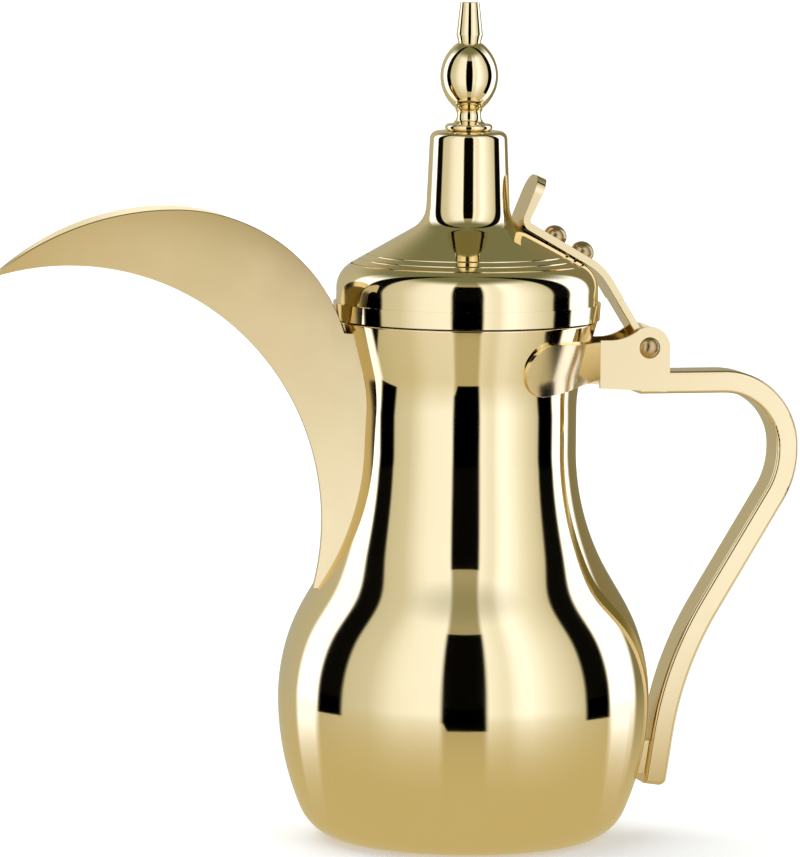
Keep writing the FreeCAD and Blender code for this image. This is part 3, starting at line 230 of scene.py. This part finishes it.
# Spout: two thin conical walls of the same sheet, welded along a narrow rounded keel and to the neck and
# belly. They stand open above, so the far wall's inside shows over the near wall's edge. Finished by hand,
# it is more satin than the body.
satin = polished("pale_gold_satin", (0.87, 0.71, 0.405), (0.84, 0.67, 0.37), 0.12, 0.16, 45.0, 0.02)
keel_c, keel_r, cone_r = (-135.5, 107.2), 87.2, 86.2
spread, shift, gain, wall_t = 16.0, (14.3, 10.4), 25.7, 0.8
crest, front_curve, back_curve = (-101.0, 212.5), 90.5, 60.0
edge_z, spout_foot_z = 171.0, 85.0
root_from, root_to, root_bite = -75.0, -20.0, 0.4
long_steps, high_steps = 150, 20
keel_slack, tip_length = 0.02, 0.3
front_c = (crest[0], crest[1] - front_curve)
back_c = (crest[0], crest[1] - back_curve)


def half_width(x, z):
    """Distance of the wall's outer face from the mirror plane at a point of the side view."""
    dx, dz = x - keel_c[0], z - keel_c[1]
    lead = dx * shift[0] + dz * shift[1] + cone_r * gain
    over = dx * dx + dz * dz - cone_r ** 2
    bend = shift[0] ** 2 + shift[1] ** 2 - gain ** 2
    return spread * over / (lead + math.sqrt(lead * lead - bend * over))


def pot_radius(z):
    """Outer radius of the pot at a height between belly and lip."""
    if z < high_c[1] + high_curve * math.sin(math.radians(waist_turn)):
        return high_c[0] + math.sqrt(high_curve ** 2 - (z - belly_z) ** 2)
    if z < waist_z:
        return waist_c[0] - math.sqrt(waist_curve ** 2 - (waist_z - z) ** 2)
    if z < flare_z:
        return waist_r
    if z < flare_z + flare_curve * math.sin(math.radians(flare_turn)):
        return flare_c[0] - math.sqrt(flare_curve ** 2 - (z - flare_z) ** 2)
    return mouth_r - (rim_z - z) * math.tan(math.radians(180 - flare_turn))


def root_point(z):
    """Where the wall's outer face meets the pot at that height, taken a little into the sheet."""
    near, far = root_from, root_to
    reach = pot_radius(z) - root_bite
    for _ in range(50):
        x = (near + far) / 2
        if math.hypot(x, half_width(x, z)) > reach:
            near = x
        else:
            far = x
    return (near, z)


span = math.dist(keel_c, front_c)
share = (span ** 2 + keel_r ** 2 - front_curve ** 2) / (2 * span)
way = ((front_c[0] - keel_c[0]) / span, (front_c[1] - keel_c[1]) / span)
rise = math.sqrt(keel_r ** 2 - share ** 2)
tip = (keel_c[0] + way[0] * share - way[1] * rise, keel_c[1] + way[1] * share + way[0] * rise)
tip_turn = math.degrees(math.atan2(tip[1] - keel_c[1], tip[0] - keel_c[0]))
foot_end = math.degrees(math.asin((spout_foot_z - keel_c[1]) / keel_r))
tip_front = math.degrees(math.atan2(tip[1] - front_c[1], tip[0] - front_c[0]))
back_end = math.degrees(math.asin((edge_z - back_c[1]) / back_curve))
upper = (bow(front_c, front_curve, tip_front, 90, 60) + bow(back_c, back_curve, 90, back_end, 60)[1:]
         + [root_point(edge_z + (spout_foot_z - edge_z) * i / 60) for i in range(61)])


def spaced(line, count):
    """Points at even steps along a line of points."""
    run = [0.0]
    for a, b in zip(line, line[1:]):
        run.append(run[-1] + math.dist(a, b))
    out, k = [], 0
    for i in range(count + 1):
        want = run[-1] * i / count
        while k < len(run) - 2 and run[k + 1] < want:
            k += 1
        t = (want - run[k]) / max(run[k + 1] - run[k], 1e-9)
        out.append(tuple(a + (b - a) * t for a, b in zip(line[k], line[k + 1])))
    return out


def on_keel(vert):
    """Whether a point of the walls lies on the keel's arc, behind the tip."""
    x, z = vert.co.x / mm, vert.co.z / mm
    return abs(math.dist((x, z), keel_c) - keel_r) < keel_slack and x > tip[0] + tip_length


top_line = spaced(upper, long_steps)
keel_line = spaced(bow(keel_c, keel_r, tip_turn, foot_end, 200), long_steps)
bm = bmesh.new()
bmesh.ops.create_grid(bm, x_segments=long_steps, y_segments=high_steps, size=0.5)
for v in bm.verts:
    i, u = round((v.co.x + 0.5) * long_steps), v.co.y + 0.5
    (x0, z0), (x1, z1) = keel_line[i], top_line[i]
    x, z = x0 + (x1 - x0) * u, z0 + (z1 - z0) * u
    v.co = Vector((x, -half_width(x, z), z)) * mm
bmesh.ops.mirror(bm, geom=bm.verts[:] + bm.edges[:] + bm.faces[:], axis="Y", merge_dist=1e-7)
keel_edges = [e for e in bm.edges if e.is_boundary and all(on_keel(v) for v in e.verts)]
bmesh.ops.bridge_loops(bm, edges=keel_edges)
bmesh.ops.recalc_face_normals(bm, faces=bm.faces)
bmesh.ops.solidify(bm, geom=bm.faces[:], thickness=wall_t * mm)
spout = finished("spout", bm, 40.0)
dressed(spout, "pot", satin, "gold_finish", "spout_right_wall", "spout_left_wall")

# Hinge bracket: two bent cheeks of gold-coloured sheet whose leaves are welded round the neck's back.
# They hold the hinge pin above and clasp the handle's upper end between them.
cheek_break = 0.35


def softened(name, width, node):
    """A copy of a plain node with its sharp edges broken by that width."""
    sharp_from, flat_within, smooth_below = 25.0, 0.3, 40.0
    bm = bmesh.new()
    bm.from_mesh(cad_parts[node].data)
    bm.transform(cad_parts[node].matrix_world)
    bmesh.ops.remove_doubles(bm, verts=bm.verts, dist=2e-6)
    bmesh.ops.dissolve_limit(bm, angle_limit=math.radians(flat_within), verts=bm.verts, edges=bm.edges)
    sharp = [e for e in bm.edges if e.is_manifold and e.calc_face_angle(0.0) > math.radians(sharp_from)]
    bmesh.ops.bevel(bm, geom=sharp, offset=width * mm, offset_type="OFFSET", segments=3, profile=0.5,
                    affect="EDGES", clamp_overlap=True, material=-1)
    piece = finished(name, bm, smooth_below)
    even = piece.modifiers.new("face_weight", "WEIGHTED_NORMAL")
    even.keep_sharp = True
    return piece


for side in ("right", "left"):
    cheek = softened(f"bracket_{side}", cheek_break, f"bracket_{side}_cheek")
    dressed(cheek, "pot", satin, "gold_finish", f"bracket_{side}_cheek")

# Handle: a bent flat bar with rounded edges, satin gold, clasped by the bracket above and welded to the
# belly through a small pad at its foot.
pad_break = 0.3


def plain(metal, *names):
    """Gives nodes that keep their plain shape a worked metal."""
    for name in names:
        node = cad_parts[name]
        for i in range(len(node.data.materials)):
            node.data.materials[i] = metal


plain(satin, "handle_bar")
pad = softened("foot_pad", pad_break, "handle_foot_pad")
dressed(pad, "pot", satin, "gold_finish", "handle_foot_pad")

# Hinge pin: a turned brass pin with a domed head, pressed in the cheeks, its far end closed by a domed cap.
# Two thin steel spacers keep the knuckle off the cheeks.
brass = polished("worn_brass", (0.66, 0.48, 0.24), (0.54, 0.37, 0.17), 0.2, 0.34, 120.0, 0.03)
steel = polished("satin_steel", (0.52, 0.49, 0.43), (0.48, 0.45, 0.395), 0.2, 0.25, 90.0, 0.03)
plain(brass, "hinge_pin", "hinge_pin_cap")
plain(steel, "hinge_spacer_right", "hinge_spacer_left")

# Lid: a shell spun from gold-coloured sheet, with an upright band, a sloping shoulder and a hollow chimney.
# Three fine rings are turned into the shoulder before it is polished to a mirror.
lid_r, lid_low, knee_z, slope_top_z = 43.7, 174.7, 190.2, 207.3
chimney_r, chimney_end_r, chimney_z, rod_hole_r = 14.1, 12.8, 237.3, 2.1
outer_rounds, inner_rounds = (9.5, 9.0, 2.6), (8.5, 10.0, 1.6)
outer_steps, inner_steps = 14, 6
slope_drop = 0.6
groove_rs, groove_curve, groove_steps = (38.8, 36.2, 33.6), 0.45, 10


def eased(corners, radii, steps):
    """An outline whose inner corners are rounded to the given radii."""
    out = [corners[0]]
    for (a, b, c), radius in zip(zip(corners, corners[1:], corners[2:]), radii):
        a, b, c = Vector(a), Vector(b), Vector(c)
        back, on = (a - b).normalized(), (c - b).normalized()
        half = back.angle(on) / 2
        middle = b + (back + on).normalized() * (radius / math.sin(half))
        first = b + back * (radius / math.tan(half)) - middle
        last = b + on * (radius / math.tan(half)) - middle
        sweep = math.degrees(first.angle_signed(last))
        start = math.degrees(math.atan2(first.y, first.x))
        out += bow(tuple(middle), radius, start, start - sweep, steps)
    return out + [corners[-1]]


lid_skin = eased([(lid_r, lid_low), (lid_r, knee_z), (chimney_r, slope_top_z), (chimney_end_r, chimney_z),
                  (rod_hole_r, chimney_z)], outer_rounds, outer_steps)
slope = Vector((chimney_r - lid_r, slope_top_z - knee_z)).normalized()
slope_lean = math.degrees(math.atan2(slope.y, slope.x))
grooves = []
for groove_r in groove_rs:
    centre = Vector((lid_r, knee_z)) + slope * ((groove_r - lid_r) / slope.x)
    grooves += bow(tuple(centre), groove_curve, slope_lean + 180, slope_lean, groove_steps)
slope_start = outer_steps + 2
inner_r = lid_r - sheet
inner_skin = eased([(inner_r, lid_low), (inner_r, knee_z - slope_drop),
                    (chimney_r - sheet, slope_top_z - slope_drop),
                    (chimney_end_r - sheet, chimney_z - sheet), (rod_hole_r, chimney_z - sheet)],
                   inner_rounds, inner_steps)
lid = spun("lid_shell_spun", lid_skin[:slope_start] + grooves + lid_skin[slope_start:] + inner_skin[::-1])
dressed(lid, "lid", gold, "gold_finish", "lid_shell")

# Lid rim: a thin stepped band of the same sheet, pressed round the lid's lower edge. It is polished
# together with the lid.
plain(gold, "lid_rim_ring")

# Lid liner: a pressed steel pan, held inside the lid's band. It closes the lid from below and drops
# a shallow plug into the mouth.
plain(steel, "lid_liner")

# Strap and knuckle: a bent flat bar, satin gold, riveted along the lid's slope and turned up into a thumb
# tab at its head. At its foot it is joined to the tongue that turns on the hinge pin.
strap_break, knuckle_break = 0.4, 0.35
strap = softened("lid_strap", strap_break, "hinge_strap")
dressed(strap, "lid", satin, "gold_finish", "hinge_strap")
knuckle = softened("lid_knuckle", knuckle_break, "hinge_knuckle")
dressed(knuckle, "lid", satin, "gold_finish", "hinge_knuckle")

# Rivets: two domed brass rivets through strap and lid, a little browner than the polished sheet.
# They are headed over steel washers inside.
plain(brass, "strap_rivet_upper", "strap_rivet_lower")
plain(steel, "rivet_washer_upper", "rivet_washer_lower")

# Finial: a collar, a waisted stem, an egg and a tip, turned from bar and mirror polished. A threaded steel
# rod runs through them, drawn down by a nut and a washer inside the chimney.
plain(gold, "finial_collar", "finial_stem", "finial_egg", "finial_tip")
plain(steel, "finial_rod", "finial_washer", "finial_nut")

# Floor: a wide sheet of plain pale paper under and behind the pot, flat on the table.
# The polished metal does not show it. It shows the glowing table top, with painted light and shade, that is
# set up further on.
floor_half = 15.0
bm = bmesh.new()
bmesh.ops.create_grid(bm, x_segments=1, y_segments=1, size=floor_half)
floor = finished("floor", bm)
paper = bpy.data.materials.new("pale_paper")
paper.use_nodes = True
pulp = paper.node_tree.nodes["Principled BSDF"]
pulp.inputs["Base Color"].default_value = (0.86, 0.86, 0.85, 1.0)
pulp.inputs["Roughness"].default_value = 0.9
pulp.inputs["Emission Color"].default_value = (1.0, 1.0, 1.0, 1.0)
pulp.inputs["Emission Strength"].default_value = 0.3
floor.data.materials.append(paper)
floor.visible_glossy = False

# Studio screens: tall white screens stand left and right of the camera, with dark gaps between them.
# Each is given by its bearing in degrees from the camera's side, positive to the right, and its light.
swing = math.radians(13.0)
screen_lights = ((-180, 0.45), (-128, 0.55), (-124, 1.5), (-104, 1.5), (-100, 0.55), (-79, 0.66), (-61, 0.73),
                 (-45, 1.0), (-38, 1.06), (-15, 1.12), (-12, 0.4), (12, 0.4), (15, 1.1), (24, 0.98),
                 (28, 0.98), (35, 1.22), (42, 1.25), (58, 0.97), (79, 0.68), (100, 0.55), (104, 1.5),
                 (131, 1.5), (136, 0.24), (165, 0.24), (180, 0.45))
screen_gaps = ((-180, 0.0), (-103, 0.0), (-101, 1.0), (-82, 1.0), (-80, 0.0), (-14.5, 0.0), (-13, 1.0),
               (13, 1.0), (14.5, 0.0), (80, 0.0), (82, 1.0), (101, 1.0), (103, 0.0), (180, 0.0))


def worked(tree, operation, *values):
    """One step of arithmetic on numbers or sockets."""
    step = tree.nodes.new("ShaderNodeMath")
    step.operation = operation
    for socket, value in zip(step.inputs, values):
        if isinstance(value, (int, float)):
            socket.default_value = value
        else:
            tree.links.new(value, socket)
    return step.outputs[0]


def screen_colour(light):
    """White of a screen: dim ones look warm and bright ones cool."""
    return (light, 1.04 * light ** 1.12, 1.15 * light ** 1.6, 1.0)


def gap_colour(share):
    """Grey that stands for the share of a gap."""
    return (share, share, share, 1.0)


screens = bpy.data.node_groups.new("studio_screens", "ShaderNodeTree")
screens.interface.new_socket("Way", in_out="INPUT", socket_type="NodeSocketVector")
screens.interface.new_socket("Lean", in_out="INPUT", socket_type="NodeSocketFloat")
screens.interface.new_socket("Screen", in_out="OUTPUT", socket_type="NodeSocketColor")
screens.interface.new_socket("Gap", in_out="OUTPUT", socket_type="NodeSocketFloat")
screens.interface.new_socket("Angle", in_out="OUTPUT", socket_type="NodeSocketFloat")
given, shown = screens.nodes.new("NodeGroupInput"), screens.nodes.new("NodeGroupOutput")
swung = screens.nodes.new("ShaderNodeMapping")
swung.inputs["Rotation"].default_value = (0.0, 0.0, swing)
axes = screens.nodes.new("ShaderNodeSeparateXYZ")
screens.links.new(given.outputs["Way"], swung.inputs["Vector"])
screens.links.new(swung.outputs["Vector"], axes.inputs["Vector"])
toward = worked(screens, "MULTIPLY", axes.outputs["Y"], -1.0)
sighted = worked(screens, "ARCTAN2", axes.outputs["X"], toward)
half_sine = worked(screens, "SINE", worked(screens, "MULTIPLY", sighted, 0.5))
bearing = worked(screens, "ADD", sighted, worked(screens, "MULTIPLY", given.outputs["Lean"], half_sine))
screens.links.new(bearing, shown.inputs["Angle"])
turn_share = worked(screens, "MULTIPLY_ADD", bearing, 0.5 / math.pi, 0.5)
for socket, bands, colour in (("Screen", screen_lights, screen_colour), ("Gap", screen_gaps, gap_colour)):
    ramp = screens.nodes.new("ShaderNodeValToRGB")
    while len(ramp.color_ramp.elements) < len(bands):
        ramp.color_ramp.elements.new(0.5)
    for element, (angle, light) in zip(ramp.color_ramp.elements, bands):
        element.position = (angle + 180) / 360
        element.color = colour(light)
    screens.links.new(turn_share, ramp.inputs["Fac"])
    screens.links.new(ramp.outputs["Color"], shown.inputs[socket])

# Studio room: the screens fade up into an olive ceiling, sooner behind the pot than in front of it.
# The gap behind the camera ends below the ceiling, the ones at the sides run up. The camera sees white.
rear_from, rear_full = 1.5, 2.2
front_fade, rear_fade = (0.72, 0.93), (0.4, 0.8)
gap_top, side_gap_top, side_gap_from, side_gap_full = 0.685, 1.2, 0.4, 0.9
gap_depth = 0.995
ceiling_colour = (0.2, 0.21, 0.13, 1.0)


def between(tree, value, low, high, first, last):
    """A smooth change from first to last as the value goes from low to high."""
    step = tree.nodes.new("ShaderNodeMapRange")
    step.interpolation_type = "SMOOTHSTEP"
    given_values = {"Value": value, "From Min": low, "From Max": high, "To Min": first, "To Max": last}
    for name, number in given_values.items():
        if isinstance(number, (int, float)):
            step.inputs[name].default_value = number
        else:
            tree.links.new(number, step.inputs[name])
    return step.outputs[0]


world = bpy.data.worlds.new("studio")
bpy.context.scene.world = world
world.use_nodes = True
tree = world.node_tree
room = tree.nodes["Background"]
look = tree.nodes.new("ShaderNodeTexCoord")
ring = tree.nodes.new("ShaderNodeGroup")
ring.node_tree = screens
height = tree.nodes.new("ShaderNodeSeparateXYZ")
tree.links.new(look.outputs["Generated"], ring.inputs["Way"])
tree.links.new(look.outputs["Generated"], height.inputs["Vector"])
aside = worked(tree, "ABSOLUTE", ring.outputs["Angle"])
fade_from = between(tree, aside, rear_from, rear_full, front_fade[0], rear_fade[0])
fade_full = between(tree, aside, rear_from, rear_full, front_fade[1], rear_fade[1])
ceiling = tree.nodes.new("ShaderNodeMix")
ceiling.data_type = "RGBA"
ceiling.inputs["B"].default_value = ceiling_colour
tree.links.new(between(tree, height.outputs["Z"], fade_from, fade_full, 0.0, 1.0), ceiling.inputs["Factor"])
tree.links.new(ring.outputs["Screen"], ceiling.inputs["A"])
top = between(tree, aside, side_gap_from, side_gap_full, gap_top, side_gap_top)
below = worked(tree, "LESS_THAN", height.outputs["Z"], top)
dark = worked(tree, "MULTIPLY", ring.outputs["Gap"], worked(tree, "MULTIPLY", below, gap_depth))
tree.links.new(worked(tree, "SUBTRACT", 1.0, dark), room.inputs["Strength"])
tree.links.new(ceiling.outputs["Result"], room.inputs["Color"])
path = tree.nodes.new("ShaderNodeLightPath")
white = tree.nodes.new("ShaderNodeBackground")
white.inputs["Color"].default_value = (1.0, 1.0, 1.0, 1.0)
both = tree.nodes.new("ShaderNodeMixShader")
tree.links.new(path.outputs["Is Camera Ray"], both.inputs["Fac"])
tree.links.new(room.outputs["Background"], both.inputs[1])
tree.links.new(white.outputs["Background"], both.inputs[2])
tree.links.new(both.outputs["Shader"], tree.nodes["World Output"].inputs["Surface"])

# Studio table: a glowing table top that only the polished metal shows, with its light and shade painted on:
# painted shade, dim and tan, close to the pot and painted light as bright as the screens further out, with a
# painted band of side light. In the gaps it drops away to the dark past its front edge. Distances are in
# metres from the pot's axis, and bearings in radians from the camera's side.
table_half, table_drop = 3.0, -0.0005
# Dim tan painted shade on the table top close to the pot.
near_shade_colour = (0.6, 0.52, 0.31, 1.0)
near_decade, far_decade = -1.12, -0.02
side_light_from, side_light_to, side_light_share = (1.78, 1.84), (2.15, 2.3), 0.8
side_light_near, side_light_far = 0.05, 0.3
front_edge, side_edge, beak_edge = 0.273, 0.33, 0.36
front_within, side_past = 0.3, 1.3
beak_from, beak_to = -0.235, -0.17
mirror_r = 0.06
bm = bmesh.new()
bmesh.ops.create_grid(bm, x_segments=1, y_segments=1, size=table_half)
bmesh.ops.translate(bm, verts=bm.verts, vec=(0.0, 0.0, table_drop))
table = finished("table_top", bm)
painted_glow = bpy.data.materials.new("table_painted_light")
painted_glow.use_nodes = True
tree = painted_glow.node_tree
glow = tree.nodes.new("ShaderNodeEmission")
look = tree.nodes.new("ShaderNodeTexCoord")
ring = tree.nodes.new("ShaderNodeGroup")
ring.node_tree = screens
far = tree.nodes.new("ShaderNodeVectorMath")
far.operation = "LENGTH"
tree.links.new(look.outputs["Object"], ring.inputs["Way"])
tree.links.new(look.outputs["Object"], far.inputs[0])
tree.links.new(worked(tree, "DIVIDE", mirror_r, far.outputs["Value"]), ring.inputs["Lean"])
aside = worked(tree, "ABSOLUTE", ring.outputs["Angle"])
# A painted band of side light across the table top at the sides.
side_light = worked(tree, "MULTIPLY", between(tree, aside, *side_light_from, 0.0, 1.0),
                    between(tree, aside, *side_light_to, 1.0, 0.0))
side_light = worked(tree, "MULTIPLY", side_light, between(tree, far.outputs["Value"], side_light_near,
                                                          side_light_far, 0.0, side_light_share))
decade = worked(tree, "LOGARITHM", far.outputs["Value"], 10.0)
outward = worked(tree, "MAXIMUM", between(tree, decade, near_decade, far_decade, 0.0, 1.0), side_light)
# Mixes from the painted shade near the pot to painted light as bright as the screens further out.
shade_to_light = tree.nodes.new("ShaderNodeMix")
shade_to_light.data_type = "RGBA"
shade_to_light.inputs["A"].default_value = near_shade_colour
tree.links.new(outward, shade_to_light.inputs["Factor"])
tree.links.new(ring.outputs["Screen"], shade_to_light.inputs["B"])
tree.links.new(shade_to_light.outputs["Result"], glow.inputs["Color"])
edge = worked(tree, "MAXIMUM", between(tree, aside, front_within, side_past, front_edge, side_edge),
              between(tree, ring.outputs["Angle"], beak_from, beak_to, beak_edge, front_edge))
dark = worked(tree, "MULTIPLY", ring.outputs["Gap"], worked(tree, "GREATER_THAN", far.outputs["Value"], edge))
tree.links.new(worked(tree, "SUBTRACT", 1.0, dark), glow.inputs["Strength"])
tree.links.new(glow.outputs["Emission"], tree.nodes["Material Output"].inputs["Surface"])
tree.nodes.remove(tree.nodes["Principled BSDF"])
table.data.materials.append(painted_glow)
table.visible_camera = False
table.visible_diffuse = False
table.visible_shadow = False

# Overhead light: one very large soft lamp above and a little in front, for the pot's faint shadow on the
# floor. The metal does not show the lamp itself.
lamp = bpy.data.lights.new("overhead", "SUN")
lamp.energy = 2.15
lamp.angle = math.radians(70.0)
overhead = bpy.data.objects.new("overhead", lamp)
overhead.rotation_euler = (math.radians(-25.0), math.radians(-8.0), 0.0)
overhead.visible_glossy = False
bpy.context.scene.collection.objects.link(overhead)
bpy.context.scene.view_settings.view_transform = "Standard"

# Camera: a long lens a little above the pot's middle, swung slightly to the beak's side.
# It looks past the axis, so that beak and handle fill the frame from edge to edge.
dip, roll, reach = math.radians(5.9), math.radians(0.5), 2.2
aim_z, aim_across = 0.1375, 0.022
ahead = Vector((math.sin(swing) * math.cos(dip), math.cos(swing) * math.cos(dip), -math.sin(dip)))
across = Vector((math.cos(swing), -math.sin(swing), 0.0))
aim = Vector((0.0, 0.0, aim_z)) - across * aim_across
lens = bpy.data.cameras.new("camera")
lens.sensor_width = 36.0
lens.lens = 276.4
camera = bpy.data.objects.new("camera", lens)
camera.matrix_world = (Matrix.Translation(aim - ahead * reach)
                       @ ahead.to_track_quat("-Z", "Y").to_matrix().to_4x4() @ Matrix.Rotation(roll, 4, "Z"))
bpy.context.scene.collection.objects.link(camera)
bpy.context.scene.camera = camera

bpy.context.view_layer.update()
